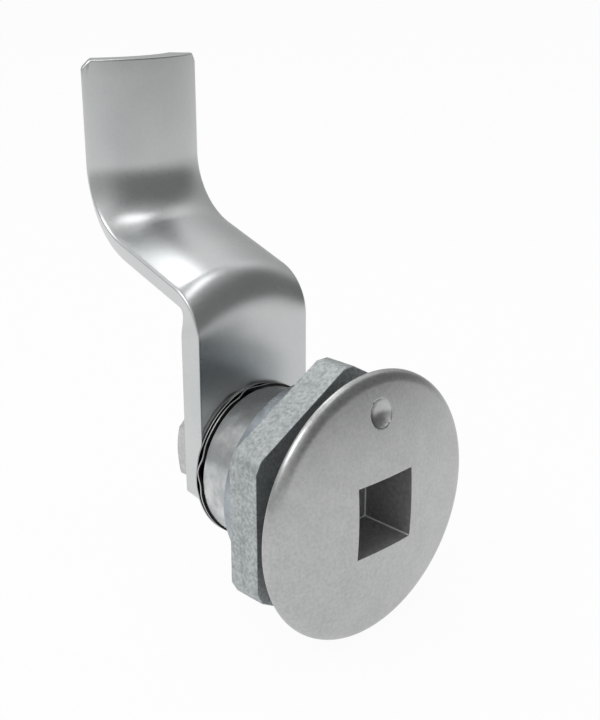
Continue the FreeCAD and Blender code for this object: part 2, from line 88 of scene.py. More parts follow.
def moveOn(step):
    bpy.ops.mesh.extrude_vertices_move(TRANSFORM_OT_translate={"value": Vector(step) * mm})


def turnOn(centre, degrees, steps, axis):
    # spin runs against the right-hand rule, so the angle is turned round here
    bpy.ops.mesh.spin(steps=steps, angle=-math.radians(degrees), center=Vector(centre) * mm, axis=axis)


def closeUp(piece):
    editAll(piece)
    bpy.ops.mesh.remove_doubles(threshold=0.002 * mm)
    bpy.ops.mesh.normals_make_consistent(inside=False)
    bpy.ops.object.mode_set(mode="OBJECT")


def lathe(name, moves, steps=192):
    # moves are ("to", radius, y) or ("arc", centre radius, centre y, degrees, steps)
    start = moves[0]
    piece = startPoint(name, (start[1], start[2], 0))
    here = Vector((start[1], start[2], 0))
    for move in moves[1:]:
        if move[0] == "to":
            there = Vector((move[1], move[2], 0))
            moveOn(there - here)
        else:
            centre = Vector((move[1], move[2], 0))
            turnOn(centre, move[3], move[4], (0, 0, 1))
            there = centre + Matrix.Rotation(math.radians(move[3]), 3, "Z") @ (here - centre)
        here = there
    bpy.ops.mesh.select_all(action="SELECT")
    turnOn((0, 0, 0), 360, steps, (0, 1, 0))
    closeUp(piece)
    return piece


def ringMoves(inner, outer, front, back, edge, steps=3):
    # rectangle section with all four corners rounded, started on the inner side
    return [
        ("to", inner, back - edge),
        ("to", inner, front + edge),
        ("arc", inner + edge, front + edge, 90, steps),
        ("to", outer - edge, front),
        ("arc", outer - edge, front + edge, 90, steps),
        ("to", outer, back - edge),
        ("arc", outer - edge, back - edge, 90, steps),
        ("to", inner + edge, back),
        ("arc", inner + edge, back - edge, 90, steps),
    ]


def cutWith(piece, tool, operation="DIFFERENCE"):
    applyModifier(piece, "BOOLEAN", object=tool, operation=operation, solver="EXACT")
    bpy.data.objects.remove(tool)


def addRod(name, sides, radius, front, back):
    # round bar or prism along the latch's axis
    clearSelection()
    bpy.ops.mesh.primitive_cylinder_add(vertices=sides, radius=radius * mm, depth=(back - front) * mm,
                                        location=(0, (front + back) / 2 * mm, 0),
                                        rotation=(math.pi / 2, 0, 0))
    return named(name)


def easedShare(share):
    share = min(max(share, 0), 1)
    return share * share * (3 - 2 * share)


def joinInto(piece, *others):
    clearSelection()
    for other in others:
        other.select_set(True)
    piece.select_set(True)
    bpy.context.view_layer.objects.active = piece
    bpy.ops.object.join()


def smooth(piece, degrees=30, weighted=True):
    makeActive(piece)
    bpy.ops.object.shade_smooth_by_angle(angle=math.radians(degrees))
    if weighted:
        applyModifier(piece, "WEIGHTED_NORMAL", keep_sharp=True, weight=80)


def selectEdges(piece, test):
    # picks edges by their two ends in millimetres, and stays in edit mode
    bpy.ops.object.mode_set(mode="OBJECT")
    places = [vertex.co / mm for vertex in piece.data.vertices]
    for polygon in piece.data.polygons:
        polygon.select = False
    for vertex in piece.data.vertices:
        vertex.select = False
    for edge in piece.data.edges:
        first, second = edge.vertices
        edge.select = test(places[first], places[second])
    bpy.context.tool_settings.mesh_select_mode = (False, True, False)
    bpy.ops.object.mode_set(mode="EDIT")


def place(piece, body, slotName, node, finish):
    piece.data.materials.clear()
    piece.data.materials.append(finish)
    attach(piece, body)
    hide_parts(node)


# Materials

class Wire:
    # one output socket, with arithmetic that adds Math nodes
    def __init__(self, finish, socket):
        self.finish = finish
        self.socket = socket

    def maths(self, operation, *values):
        return self.finish.node("ShaderNodeMath", {"operation": operation}, values)

    def __add__(self, other):
        return self.maths("ADD", self, other)

    def __sub__(self, other):
        return self.maths("SUBTRACT", self, other)

    def __rsub__(self, other):
        return self.maths("SUBTRACT", other, self)

    def __mul__(self, other):
        return self.maths("MULTIPLY", self, other)

    def __truediv__(self, other):
        return self.maths("DIVIDE", self, other)

    __radd__ = __add__
    __rmul__ = __mul__


class Finish:
    # a material with one principled shader, filled in by wires
    def __init__(self, name, **constants):
        self.material = bpy.data.materials.new(name)
        self.material.use_nodes = True
        self.tree = self.material.node_tree
        self.shader = self.tree.nodes["Principled BSDF"]
        for key, value in constants.items():
            self.shader.inputs[key.replace("_", " ")].default_value = value
        self.where = self.node("ShaderNodeTexCoord", {}, [], "Object")

    def node(self, kind, settings, values, output=0):
        made = self.tree.nodes.new(kind)
        for key, value in settings.items():
            setattr(made, key, value)
        pairs = values.items() if isinstance(values, dict) else enumerate(values)
        for key, value in pairs:
            if isinstance(value, Wire):
                self.tree.links.new(value.socket, made.inputs[key])
            else:
                made.inputs[key].default_value = value
        return Wire(self, made.outputs[output])

    def tap(self, wire, output):
        return Wire(self, wire.socket.node.outputs[output])

    def noise(self, perMm, detail=3.0, roughness=0.55):
        values = {"Vector": self.where, "Scale": perMm / mm, "Detail": detail, "Roughness": roughness}
        return self.node("ShaderNodeTexNoise", {}, values)

    def spread(self, wire, low, high, bottom=0.0, top=1.0):
        values = {"Value": wire, "From Min": low, "From Max": high, "To Min": bottom, "To Max": top}
        return self.node("ShaderNodeMapRange", {"clamp": True}, values)

    def blend(self, share, first, second):
        made = self.tree.nodes.new("ShaderNodeMix")
        made.data_type = "RGBA"
        for socket, value in ((made.inputs[0], share), (made.inputs[6], first), (made.inputs[7], second)):
            if isinstance(value, Wire):
                self.tree.links.new(value.socket, socket)
            else:
                socket.default_value = value
        return Wire(self, made.outputs[2])

    def set(self, name, wire):
        self.tree.links.new(wire.socket, self.shader.inputs[name])

    def bump(self, height, strength, distance):
        values = {"Height": height, "Strength": strength, "Distance": distance * mm}
        self.set("Normal", self.node("ShaderNodeBump", {}, values))


def grey(value, warm=0.0):
    return (value * (1 + warm), value, value * (1 - warm), 1.0)


# satin plate of the head: even grey with a fine speckle
def makeSatinNickel():
    finish = Finish("satinNickel", Metallic=1.0, Roughness=0.34)
    speckle = finish.noise(2.6, 3.0, 0.7)
    cloud = finish.noise(0.3, 2.0)
    tone = finish.spread(speckle * 0.75 + cloud * 0.25, 0.38, 0.62)
    finish.set("Base Color", finish.blend(tone, grey(0.44, -0.004), grey(0.54, -0.004)))
    finish.set("Roughness", finish.spread(speckle, 0.3, 0.7, 0.30, 0.38))
    finish.bump(finish.noise(3.4, 3.0), 0.10, 0.03)
    return finish.material


# inside of the socket: painted shade darkens the recess, and the pale lines where its walls and floor meet
# are painted highlights
socketHighlightLines = {"side": 3.88, "floor": 2.98}


def makeRecessShade():
    finish = Finish("recessShade", Metallic=0.4, Roughness=0.55)
    speckle = finish.noise(2.4, 4.0, 0.7)
    parts = finish.node("ShaderNodeSeparateXYZ", {}, [finish.where])
    near = 0.0
    for wire in (parts.maths("ABSOLUTE", parts), parts.maths("ABSOLUTE", finish.tap(parts, "Z"))):
        near = wire.maths("GREATER_THAN", wire, socketHighlightLines["side"] * mm) + near
    near = near + near.maths("GREATER_THAN", finish.tap(parts, "Y"), socketHighlightLines["floor"] * mm)
    # painted highlights: near white lines where two of the walls and the floor meet
    paintedHighlight = near.maths("GREATER_THAN", near, 1.5)
    # dark grey walls and low metal: painted shade of the deep recess
    wall = finish.blend(finish.spread(speckle, 0.35, 0.7), grey(0.26), grey(0.40))
    finish.set("Base Color", finish.blend(paintedHighlight, wall, grey(0.9)))
    finish.bump(speckle, 0.2, 0.04)
    return finish.material


# zinc of the nut: pale crystals on a duller ground
def makeZincNut():
    finish = Finish("zincNut", Metallic=0.9, Roughness=0.5)
    fine = finish.noise(2.4, 4.0, 0.75)
    broad = finish.noise(0.6, 3.0, 0.6)
    crystals = finish.spread(fine * 0.7 + broad * 0.3, 0.40, 0.60)
    finish.set("Base Color", finish.blend(crystals, (0.36, 0.385, 0.39, 1), (0.55, 0.585, 0.59, 1)))
    finish.set("Roughness", finish.spread(fine, 0.35, 0.65, 0.60, 0.46))
    finish.bump(fine, 0.16, 0.03)
    return finish.material


# bright plate of the sleeve: a little wavy, so that reflections run together
def makeBrightPlate(name, dull, clear):
    finish = Finish(name, Metallic=1.0, Roughness=0.28)
    wave = finish.noise(0.25, 2.0, 0.5)
    blot = finish.noise(0.45, 3.0, 0.6)
    finish.set("Base Color", finish.blend(finish.spread(blot, 0.4, 0.65), dull, clear))
    finish.set("Roughness", finish.spread(blot, 0.35, 0.65, 0.36, 0.24))
    finish.bump(wave, 0.30, 0.5)
    return finish.material


# zinc on rolled steel of the cam: smooth, with soft clouds
def makeCamSteel():
    finish = Finish("camSteel", Metallic=1.0, Roughness=0.28)
    cloud = finish.noise(0.14, 2.0, 0.5)
    fine = finish.noise(2.2, 3.0, 0.6)
    tone = finish.spread(cloud * 0.6 + fine * 0.4, 0.2, 0.8)
    finish.set("Base Color", finish.blend(tone, (0.54, 0.56, 0.565, 1), (0.67, 0.68, 0.68, 1)))
    finish.set("Roughness", finish.spread(fine, 0.1, 0.9, 0.26, 0.32))
    finish.bump(fine, 0.05, 0.02)
    return finish.material


# spring sheet whose faces are painted near black as shade of the narrow gaps between the sheets; the outer
# edge keeps the steel's own grey
steelEdgeFrom, steelEdgeTo = 8.95, 8.98


def makeSpringSteel():
    finish = Finish("springSteel", Metallic=1.0, Roughness=0.3)
    stain = finish.noise(0.9, 3.0, 0.6)
    parts = finish.node("ShaderNodeSeparateXYZ", {}, [finish.where])
    across = finish.node("ShaderNodeCombineXYZ", {}, [parts, 0.0, finish.tap(parts, "Z")])
    reach = finish.node("ShaderNodeVectorMath", {"operation": "LENGTH"}, [across], "Value")
    steelEdge = finish.spread(reach, steelEdgeFrom * mm, steelEdgeTo * mm)
    # painted shade: the sheet faces are near black
    shadedFaces = finish.blend(finish.spread(stain, 0.35, 0.65), grey(0.012), grey(0.035))
    finish.set("Base Color", finish.blend(steelEdge, shadedFaces, grey(0.50)))
    finish.set("Roughness", finish.spread(stain, 0.3, 0.7, 0.26, 0.4))
    finish.bump(finish.noise(4.0, 2.0), 0.08, 0.02)
    return finish.material


def makeBoltZinc():
    finish = Finish("boltZinc", Metallic=1.0, Roughness=0.32)
    mark = finish.noise(1.8, 4.0, 0.65)
    finish.set("Base Color", finish.blend(finish.spread(mark, 0.38, 0.62), grey(0.46), grey(0.60)))
    finish.set("Roughness", finish.spread(mark, 0.3, 0.7, 0.26, 0.42))
    finish.bump(mark, 0.12, 0.03)
    return finish.material


def makeRubber(name, tone):
    finish = Finish(name, Metallic=0.0, Roughness=0.75)
    pores = finish.noise(2.8, 4.0, 0.7)
    finish.set("Base Color", finish.blend(finish.spread(pores, 0.3, 0.7), grey(tone * 0.7), grey(tone * 1.4)))
    finish.bump(pores, 0.25, 0.04)
    return finish.material


def makeSlipPlastic():
    finish = Finish("slipPlastic", Metallic=0.0, Roughness=0.45)
    cloud = finish.noise(0.8, 3.0)
    tone = finish.spread(cloud, 0.3, 0.7)
    finish.set("Base Color", finish.blend(tone, (0.74, 0.72, 0.64, 1), (0.84, 0.83, 0.77, 1)))
    finish.bump(cloud, 0.08, 0.03)
    return finish.material


satinNickel = makeSatinNickel()
recessShade = makeRecessShade()
zincNut = makeZincNut()
brightSleeve = makeBrightPlate("brightSleeve", (0.46, 0.48, 0.49, 1), (0.64, 0.65, 0.65, 1))
nutNeck = makeBrightPlate("nutNeck", (0.32, 0.36, 0.39, 1), (0.44, 0.48, 0.51, 1))
camSteel = makeCamSteel()
springSteel = makeSpringSteel()
boltZinc = makeBoltZinc()
gasketRubber = makeRubber("gasketRubber", 0.025)
sealRubber = makeRubber("sealRubber", 0.02)
slipPlastic = makeSlipPlastic()
print("stage: finishes")


# Head and shaft

head = {
    "apex": -3.6, "domeRadius": 55.0, "radius": 14.8, "rimRound": 0.9,
    "shoulderRound": 2.2, "shoulderEnd": 40.0,
    "back": -0.6, "backRound": 0.15, "recessRadius": 10.9, "recessEdge": 0.2, "floor": -1.7,
    "socketSide": 8.0, "socketFloor": 3.1, "socketEdge": 0.07,
    "dimpleZ": 11.1, "dimpleBowl": 1.977, "dimpleCentreY": -3.695, "dimpleEdge": 0.08,
}
shaft = {
    "journal": 7.0, "journalEnd": 5.5, "journalEdge": 0.1, "spindle": 6.0, "spindleEnd": 16.49,
    "square": 8.0, "squareEnd": 19.19, "squareCorner": 5.5, "hole": 2.95, "holeStart": 7.19,
    "grooves": ((3.8, 5.0), (12.8, 14.0)), "grooveDepth": 0.95,
}


def makeLatchHead():
    domeCentre = head["apex"] + head["domeRadius"]
    reach = head["radius"] - head["rimRound"]
    bend = math.radians(head["shoulderEnd"])
    inset = head["shoulderRound"] - head["rimRound"]
    domeInset = head["domeRadius"] - head["shoulderRound"]
    domeTurn = math.asin((reach - inset * math.sin(bend)) / domeInset)
    shoulder = (domeInset * math.sin(domeTurn), domeCentre - domeInset * math.cos(domeTurn))
    rimCentre = shoulder[1] - inset * math.cos(bend)
    domeAngle = math.degrees(domeTurn)
    backStart = head["back"] - head["backRound"]
    edge = head["recessEdge"]
    front, rear = shaft["grooves"]
    journal, spindle, deep = shaft["journal"], shaft["spindle"], shaft["grooveDepth"]
    piece = lathe("latchHead", [
        ("to", 0, head["apex"]),
        ("arc", 0, domeCentre, domeAngle, 36),
        ("arc", *shoulder, head["shoulderEnd"] - domeAngle, 8),
        ("arc", reach, rimCentre, 90 - head["shoulderEnd"], 10),
        ("to", head["radius"], backStart),
        ("arc", head["radius"] - head["backRound"], backStart, 90, 4),
        ("to", head["recessRadius"] + edge, head["back"]),
        ("to", head["recessRadius"], head["back"] - edge),
        ("to", head["recessRadius"], head["floor"]),
        ("to", journal + edge, head["floor"]),
        ("to", journal, head["floor"] + edge),
        ("to", journal, front[0]), ("to", journal - deep, front[0]),
        ("to", journal - deep, front[1]), ("to", journal, front[1]),
        ("to", journal, shaft["journalEnd"] - shaft["journalEdge"]),
        ("to", journal - shaft["journalEdge"], shaft["journalEnd"]),
        ("to", spindle, shaft["journalEnd"]),
        ("to", spindle, rear[0]), ("to", spindle - deep, rear[0]),
        ("to", spindle - deep, rear[1]), ("to", spindle, rear[1]),
        ("to", spindle, shaft["spindleEnd"]),
        ("to", 0, shaft["spindleEnd"]),
    ], steps=256)

    # dimple that marks the cam's side, its lip softened
    clearSelection()
    centre = Vector((0, head["dimpleCentreY"], head["dimpleZ"]))
    bpy.ops.mesh.primitive_uv_sphere_add(segments=128, ring_count=64, radius=head["dimpleBowl"] * mm,
                                         location=centre * mm)
    cutWith(piece, named("dimpleBall"))

    def onLip(point):
        offDome = abs((point - Vector((0, domeCentre, 0))).length - head["domeRadius"]) < 0.004
        return offDome and abs((point - centre).length - head["dimpleBowl"]) < 0.006

    selectEdges(piece, lambda first, second: onLip(first) and onLip(second))
    bpy.ops.mesh.bevel(offset=head["dimpleEdge"] * mm, segments=3, affect="EDGES", clamp_overlap=False)
    bpy.ops.object.mode_set(mode="OBJECT")

    # square socket
    clearSelection()
    depth = head["socketFloor"] - head["apex"] + 1
    middle = head["socketFloor"] - depth / 2
    bpy.ops.mesh.primitive_cube_add(size=mm, location=(0, middle * mm, 0),
                                    scale=(head["socketSide"], depth, head["socketSide"]))
    cutWith(piece, named("socketTool"))
    half = head["socketSide"] / 2

    def onMouth(point):
        onSide = abs(max(abs(point.x), abs(point.z)) - half) < 0.003
        return onSide and point.y < head["apex"] + 0.3

    selectEdges(piece, lambda first, second: onMouth(first) and onMouth(second))
    bpy.ops.mesh.bevel(offset=head["socketEdge"] * mm, segments=2, affect="EDGES", clamp_overlap=True)
    bpy.ops.object.mode_set(mode="OBJECT")

    # square end behind the spindle, its corners turned down, and the hole for the bolt
    sunk = 0.2
    squareEnd = addRod("squareEnd", 128, shaft["squareCorner"], shaft["spindleEnd"] - sunk,
                       shaft["squareEnd"])
    clearSelection()
    length = shaft["squareEnd"] - shaft["spindleEnd"] + sunk
    bpy.ops.mesh.primitive_cube_add(size=mm, location=(0, shaft["squareEnd"] * mm, 0),
                                    scale=(shaft["square"], 3 * length, shaft["square"]))
    cutWith(squareEnd, named("squareTool"), "INTERSECT")
    cutWith(piece, squareEnd, "UNION")
    cutWith(piece, addRod("holeTool", 64, shaft["hole"], shaft["holeStart"], shaft["squareEnd"] + 1))

    smooth(piece, 25)
    place(piece, "rotor", "satin_nickel", "actuator", satinNickel)
    # the socket's walls and floor take the painted shade
    piece.data.materials.append(recessShade)
    for polygon in piece.data.polygons:
        middle = polygon.center / mm
        inside = max(abs(middle.x), abs(middle.z)) < half + 0.002
        normal = polygon.normal
        wall = abs(normal.y) < 0.3 or middle.y > head["socketFloor"] - 0.1
        if inside and wall and middle.y < head["socketFloor"] + 0.1:
            polygon.material_index = 1


makeLatchHead()
print("stage: head and shaft")


# Housing sleeve

sleeve = {
    "flange": 10.6, "flangeFront": -1.4, "flangeBack": -0.7, "nose": 8.75, "crest": 9.2,
    "end": 15.55, "noseEdge": 0.15, "frontBore": 7.05, "rearBore": 6.05, "shoulder": 5.65,
    "flangeEdge": 0.12, "rings": (6.0, 9.0, 12.0),
    "pitch": 1.0, "turns": 6, "threadStart": -0.35, "flank": 0.22, "top": 0.28, "sunk": 0.05,
}


def makeSleeve():
    edge = sleeve["flangeEdge"]
    piece = lathe("housingSleeve", [
        ("to", sleeve["frontBore"], sleeve["flangeFront"]),
        ("to", sleeve["flange"] - edge, sleeve["flangeFront"]),
        ("arc", sleeve["flange"] - edge, sleeve["flangeFront"] + edge, 90, 3),
        ("to", sleeve["flange"], sleeve["flangeBack"] - edge),
        ("arc", sleeve["flange"] - edge, sleeve["flangeBack"] - edge, 90, 3),
        ("to", sleeve["nose"], sleeve["flangeBack"]),
        *[("to", sleeve["nose"], ring) for ring in sleeve["rings"]],
        ("to", sleeve["nose"], sleeve["end"] - sleeve["noseEdge"]),
        ("to", sleeve["nose"] - sleeve["noseEdge"], sleeve["end"]),
        ("to", sleeve["rearBore"], sleeve["end"]),
        ("to", sleeve["rearBore"], sleeve["shoulder"]),
        ("to", sleeve["frontBore"], sleeve["shoulder"]),
        ("to", sleeve["frontBore"], sleeve["flangeFront"]),
    ])
    smooth(piece, 35)

    # thread ridge, wound round the sleeve from one closed section
    low = sleeve["nose"] - sleeve["sunk"]
    width = 2 * sleeve["flank"] + sleeve["top"]
    ridge = startPoint("threadRidge", (low, sleeve["threadStart"] - width / 2, 0))
    moveOn((sleeve["crest"] - low, sleeve["flank"], 0))
    moveOn((0, sleeve["top"], 0))
    moveOn((low - sleeve["crest"], sleeve["flank"], 0))
    moveOn((0, -width, 0))
    bpy.ops.mesh.select_all(action="SELECT")
    bpy.ops.mesh.remove_doubles(threshold=0.01 * mm)
    bpy.ops.object.mode_set(mode="OBJECT")
    applyModifier(ridge, "SCREW", axis="Y", screw_offset=sleeve["pitch"] * mm, iterations=sleeve["turns"],
                  steps=96, render_steps=96, angle=math.tau, use_merge_vertices=False)
    editAll(ridge)
    bpy.ops.mesh.remove_doubles(threshold=0.001 * mm)
    bpy.ops.mesh.fill_holes(sides=8)
    bpy.ops.mesh.normals_make_consistent(inside=False)
    bpy.ops.object.mode_set(mode="OBJECT")
    smooth(ridge, 20, weighted=False)
    joinInto(piece, ridge)
    place(piece, "housing", "zinc_sleeve", "housing", brightSleeve)


makeSleeve()
print("stage: sleeve")


# Gasket

gasket = {"inner": 9.35, "outer": 10.4, "front": -0.7, "back": 0.0, "edge": 0.18}


def makeGasket():
    piece = lathe("panelGasket", ringMoves(gasket["inner"], gasket["outer"], gasket["front"],
                                           gasket["back"], gasket["edge"]))
    smooth(piece, 40)
    place(piece, "housing", "gasket_rubber", "panel_gasket", gasketRubber)


makeGasket()


# Mounting nut

nut = {
    "flats": 26.0, "front": 2.05, "back": 6.05, "cornerCut": 0.85, "edge": 0.12,
    "bore": 8.85, "boreChamfer": 0.45, "neck": 11.05, "neckBack": 9.4, "neckEdge": 0.12,
}


def makeNut():
    piece = addRod("mountingNut", 6, nut["flats"] / math.sqrt(3), nut["front"], nut["back"])
    selectEdges(piece, lambda first, second: abs(first.y - second.y) > 1)
    bpy.ops.mesh.bevel(offset=nut["cornerCut"] * mm, offset_type="OFFSET", segments=1, affect="EDGES")
    selectEdges(piece, lambda first, second: abs(first.y - second.y) < 0.01)
    bpy.ops.mesh.bevel(offset=nut["edge"] * mm, segments=3, affect="EDGES")
    bpy.ops.object.mode_set(mode="OBJECT")
    edge = nut["neckEdge"]
    neck = lathe("nutNeck", [
        ("to", 0, nut["back"] - 0.5),
        ("to", nut["neck"], nut["back"] - 0.5),
        ("to", nut["neck"], nut["neckBack"] - edge),
        ("arc", nut["neck"] - edge, nut["neckBack"] - edge, 90, 3),
        ("to", 0, nut["neckBack"]),
    ])
    cutWith(piece, neck, "UNION")
    chamfer = nut["boreChamfer"]
    tool = lathe("boreTool", [
        ("to", 0, nut["front"] - 1),
        ("to", nut["bore"] + chamfer + 1, nut["front"] - 1),
        ("to", nut["bore"], nut["front"] + chamfer),
        ("to", nut["bore"], nut["neckBack"] - chamfer),
        ("to", nut["bore"] + chamfer + 1, nut["neckBack"] + 1),
        ("to", 0, nut["neckBack"] + 1),
    ])
    cutWith(piece, tool)
    smooth(piece, 30)
    place(piece, "housing", "zinc_nut", "mounting_nut", zincNut)
    piece.data.materials.append(nutNeck)
    for polygon in piece.data.polygons:
        if polygon.center.y > (nut["back"] + 0.01) * mm:
            polygon.material_index = 1


makeNut()
print("stage: gasket and nut")


# Wave washers

washers = {
    "inner": 6.3, "outer": 9.0, "sheet": 0.2, "edge": 0.05, "groups": 5, "turn": -1.0,
    # angle from a group's first cell, level of the front sheet, level of the rear sheet
    "waves": ((0, 15.67, 16.37), (11.5, 16.15, 16.37), (22.5, 15.67, 16.37),
              (31, 15.80, 16.27), (47, 15.80, 16.27), (63, 15.80, 16.27)),
}


def waveLevel(angle, column):
    group = 360 / washers["groups"]
    stops = washers["waves"] + ((group, *washers["waves"][0][1:]),)
    for near, far in zip(stops, stops[1:]):
        if angle <= far[0]:
            share = (angle - near[0]) / (far[0] - near[0])
            return near[column] + (far[column] - near[column]) * easedShare(share)
    return stops[-1][column]


def makeWaveWasher(name, node, column):
    half = washers["sheet"] / 2
    moves = ringMoves(washers["inner"], washers["outer"], -half, half, washers["edge"], 2)
    piece = lathe(name, moves, steps=360)
    for vertex in piece.data.vertices:
        turn = math.degrees(math.atan2(-vertex.co.x, vertex.co.z)) - washers["turn"]
        vertex.co.y += waveLevel(turn % (360 / washers["groups"]), column) * mm
    smooth(piece, 40)
    place(piece, "rotor", "spring_steel", node, springSteel)


makeWaveWasher("waveWasherFront", "wave_washer_front", 1)
makeWaveWasher("waveWasherRear", "wave_washer_rear", 2)
print("stage: wave washers")


# Cam

cam = {
    "front": 16.49, "thick": 2.95, "halfWidth": 8.05, "bottom": -8.0, "cornerCut": 5.5,
    "bendStart": 15.5, "lowBend": 5.6, "highBend": 8.4, "slant": 19.0, "offset": 18.95,
    "tipRadius": 14.0, "tipTop": 43.6, "tipCut": 0.95, "crown": 1.9,
    "hole": 8.1, "edge": 0.22,
}


def makeCam():
    slant = math.radians(cam["slant"])
    low, high = cam["lowBend"], cam["highBend"]
    turn = 90 - cam["slant"]
    half = cam["halfWidth"]
    tipCrown = cam["tipRadius"] - math.sqrt(cam["tipRadius"] ** 2 - half ** 2)
    run = (cam["offset"] - (low + high) * (1 - math.sin(slant))) / math.cos(slant)
    squareOff = Vector((0, -math.sin(slant), math.cos(slant)))
    lowCentre = Vector((0, cam["front"] + low, cam["bendStart"]))
    lowEnd = lowCentre + squareOff * low
    highStart = lowEnd + Vector((0, math.cos(slant), math.sin(slant))) * run
    highCentre = highStart + squareOff * high
    tipStart = highCentre + Vector((0, high, 0))

    # front face: a strip of edges drawn up the plate, round the bends and up the tip
    piece = startPoint("crankedCam", (-half, cam["front"], cam["bottom"]))
    moveOn((2 * half, 0, 0))
    bpy.ops.mesh.select_all(action="SELECT")
    bpy.ops.mesh.subdivide(number_cuts=35)
    bpy.ops.mesh.select_all(action="SELECT")

    def drawOn(step, count):
        for part in range(count):
            bpy.ops.mesh.extrude_region_move(TRANSFORM_OT_translate={"value": Vector(step) * mm / count})

    drawOn((0, 0, cam["bendStart"] - cam["bottom"]), 6)
    turnOn(lowCentre, -turn, 28, (1, 0, 0))
    drawOn(highStart - lowEnd, 12)
    turnOn(highCentre, turn, 28, (1, 0, 0))
    drawOn((0, 0, cam["tipTop"] - tipStart.z), 6)
    closeUp(piece)

    # the rolled crown grows over the lower bend and again over the upper one
    def crownAt(point):
        if point.z <= cam["bendStart"] + 0.001:
            return 0
        if point.z >= tipStart.z - 0.001:
            return tipCrown
        fromLow = point - lowCentre
        fromLow.x = 0
        lowTurn = math.degrees(math.atan2(fromLow.z, -fromLow.y))
        if lowTurn < turn and fromLow.length < low + 0.01:
            return cam["crown"] * easedShare(lowTurn / turn)
        fromHigh = point - highCentre
        fromHigh.x = 0
        highTurn = math.degrees(math.atan2(-fromHigh.z, fromHigh.y))
        if 0 <= highTurn <= turn and fromHigh.length < high + 0.01:
            return cam["crown"] + (tipCrown - cam["crown"]) * easedShare(1 - highTurn / turn)
        return cam["crown"]

    group = piece.vertex_groups.new(name="crown")
    for vertex in piece.data.vertices:
        rise = crownAt(vertex.co / mm)
        if rise > 0:
            bow = (half ** 2 + rise ** 2) / (2 * rise)
            lift = math.sqrt(bow ** 2 - (vertex.co.x / mm) ** 2) - (bow - rise)
            group.add([vertex.index], max(lift, 0) / tipCrown, "REPLACE")
    if piece.data.polygons[0].normal.y > 0:
        editAll(piece)
        bpy.ops.mesh.flip_normals()
        bpy.ops.object.mode_set(mode="OBJECT")
    applyModifier(piece, "DISPLACE", direction="NORMAL", mid_level=0, strength=tipCrown * mm,
                  vertex_group="crown")
    applyModifier(piece, "SOLIDIFY", thickness=cam["thick"] * mm, offset=-1, use_even_offset=True,
                  use_quality_normals=True)

    # corners of the plate and of the tip are cut off
    def cutCorner(point, normal):
        editAll(piece)
        bpy.ops.mesh.bisect(plane_co=Vector(point) * mm, plane_no=Vector(normal).normalized(),
                            use_fill=True, clear_outer=True, threshold=0.0005 * mm)
        bpy.ops.object.mode_set(mode="OBJECT")

    lean = math.asin(half / cam["tipRadius"])
    for side in (-1, 1):
        cutCorner((side * (half - cam["cornerCut"]), 0, cam["bottom"]), (side, 0, -1))
        cutCorner((side * half, tipStart.y, cam["tipTop"] - cam["tipCut"]),
                  (side * math.cos(lean), math.sin(lean), 1))

    clearSelection()
    bpy.ops.mesh.primitive_cube_add(size=mm, location=(0, (cam["front"] + cam["thick"] / 2) * mm, 0),
                                    scale=(cam["hole"], 2 * cam["thick"], cam["hole"]))
    cutWith(piece, named("squareHoleTool"))
    applyModifier(piece, "BEVEL", width=cam["edge"] * mm, segments=3, limit_method="ANGLE",
                  angle_limit=math.radians(35), use_clamp_overlap=False)
    smooth(piece, 35)
    place(piece, "rotor", "plated_steel", "cam", camSteel)


makeCam()
print("stage: cam")


# Lock washer and bolt

lockRing = {
    "inner": 3.05, "outer": 5.1, "front": 19.44, "back": 20.79, "edge": 0.12, "gap": 1.2, "slope": 18,
}
bolt = {
    "flats": 10.0, "front": 20.79, "back": 24.79, "inset": 0.25, "slope": 30, "edge": 0.1,
    "shank": 2.9, "shankLength": 12.0, "shankEdge": 0.4,
}


def makeLockRing():
    piece = lathe("lockRing", ringMoves(lockRing["inner"], lockRing["outer"], lockRing["front"],
                                        lockRing["back"], lockRing["edge"]), steps=128)
    clearSelection()
    middle = (lockRing["front"] + lockRing["back"]) / 2
    bpy.ops.mesh.primitive_cube_add(size=mm, location=(0, middle * mm, -lockRing["outer"] * mm),
                                    rotation=(0, 0, math.radians(lockRing["slope"])),
                                    scale=(lockRing["gap"], 6, 2 * lockRing["outer"] - 1))
    cutWith(piece, named("splitTool"))
    smooth(piece, 35)
    place(piece, "rotor", "bolt_steel", "lock_washer", boltZinc)


def makeBolt():
    piece = addRod("camBolt", 6, bolt["flats"] / math.sqrt(3), bolt["front"], bolt["back"])
    applyModifier(piece, "BEVEL", width=bolt["edge"] * mm, segments=2, limit_method="ANGLE",
                  angle_limit=math.radians(30))
    start = bolt["flats"] / 2 - bolt["inset"]
    wide = bolt["flats"]
    tool = lathe("headTurning", [
        ("to", 0, bolt["front"] - 1),
        ("to", wide, bolt["front"] - 1),
        ("to", wide, bolt["back"] - (wide - start) * math.tan(math.radians(bolt["slope"]))),
        ("to", start, bolt["back"]),
        ("to", start - 0.15, bolt["back"] + 0.001),
        ("to", 0, bolt["back"] + 0.001),
    ], steps=160)
    cutWith(piece, tool, "INTERSECT")
    shankStart = bolt["front"] - bolt["shankLength"]
    shank = lathe("shank", [
        ("to", 0, shankStart),
        ("to", bolt["shank"] - bolt["shankEdge"], shankStart),
        ("to", bolt["shank"], shankStart + bolt["shankEdge"]),
        ("to", bolt["shank"], bolt["front"] + 0.5),
        ("to", 0, bolt["front"] + 0.5),
    ], steps=64)
    joinInto(piece, shank)
    smooth(piece, 28)
    place(piece, "rotor", "bolt_steel", "cam_bolt", boltZinc)


makeLockRing()
makeBolt()
print("stage: lock ring and bolt")


# Inner pieces that keep their own meshes

inner = {"shaft_seal_front": sealRubber, "shaft_seal_rear": sealRubber, "thrust_washer": slipPlastic,
         "stop_pin": boltZinc}
for node, finish in inner.items():
    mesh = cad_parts[node].data
    mesh.materials.clear()
    mesh.materials.append(finish)


# Studio

